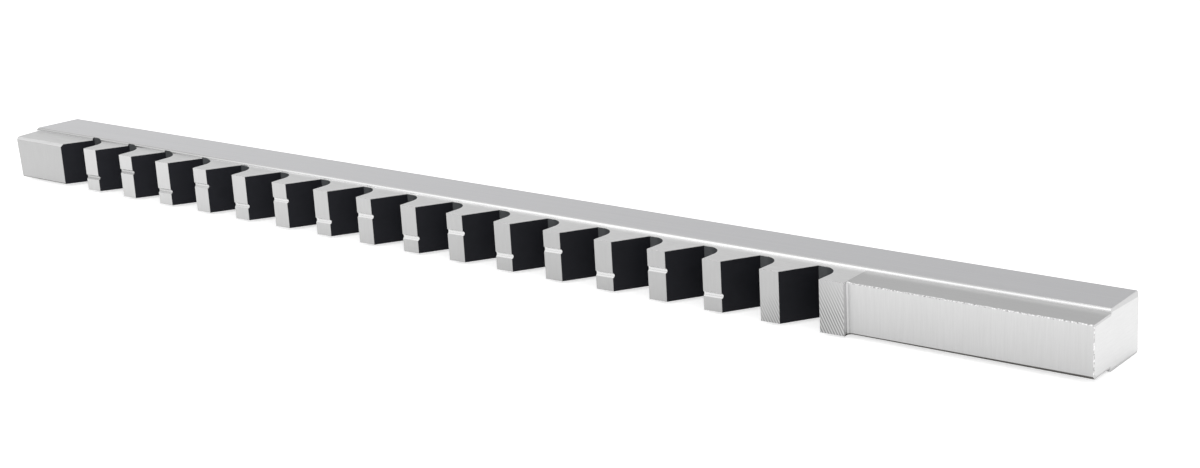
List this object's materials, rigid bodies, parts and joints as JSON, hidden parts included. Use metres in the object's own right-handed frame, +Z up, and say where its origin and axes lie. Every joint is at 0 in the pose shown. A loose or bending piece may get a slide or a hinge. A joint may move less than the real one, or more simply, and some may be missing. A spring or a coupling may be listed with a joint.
{
  "type": "keyway broach",
  "caption": "Straight push broach: a ground steel bar with a stepped guide body, a plain pilot, a row of rising hooked teeth with dark gullets and chip breakers, and a flat shank.",
  "frame": {"origin": "middle of the bar's bounding box, on the side face it lies on", "axes": "+X along the bar from the pilot to the push end, -Y the way the teeth point, +Z up across the width"},
  "size_m": [0.3536, 0.024, 0.0143],
  "materials": {
    "ground_steel": "surface-ground bright faces with black unground gullets"
  },
  "bodies": {
    "root": {"keyway_broach": "ground_steel"}
  },
  "joints": []
}
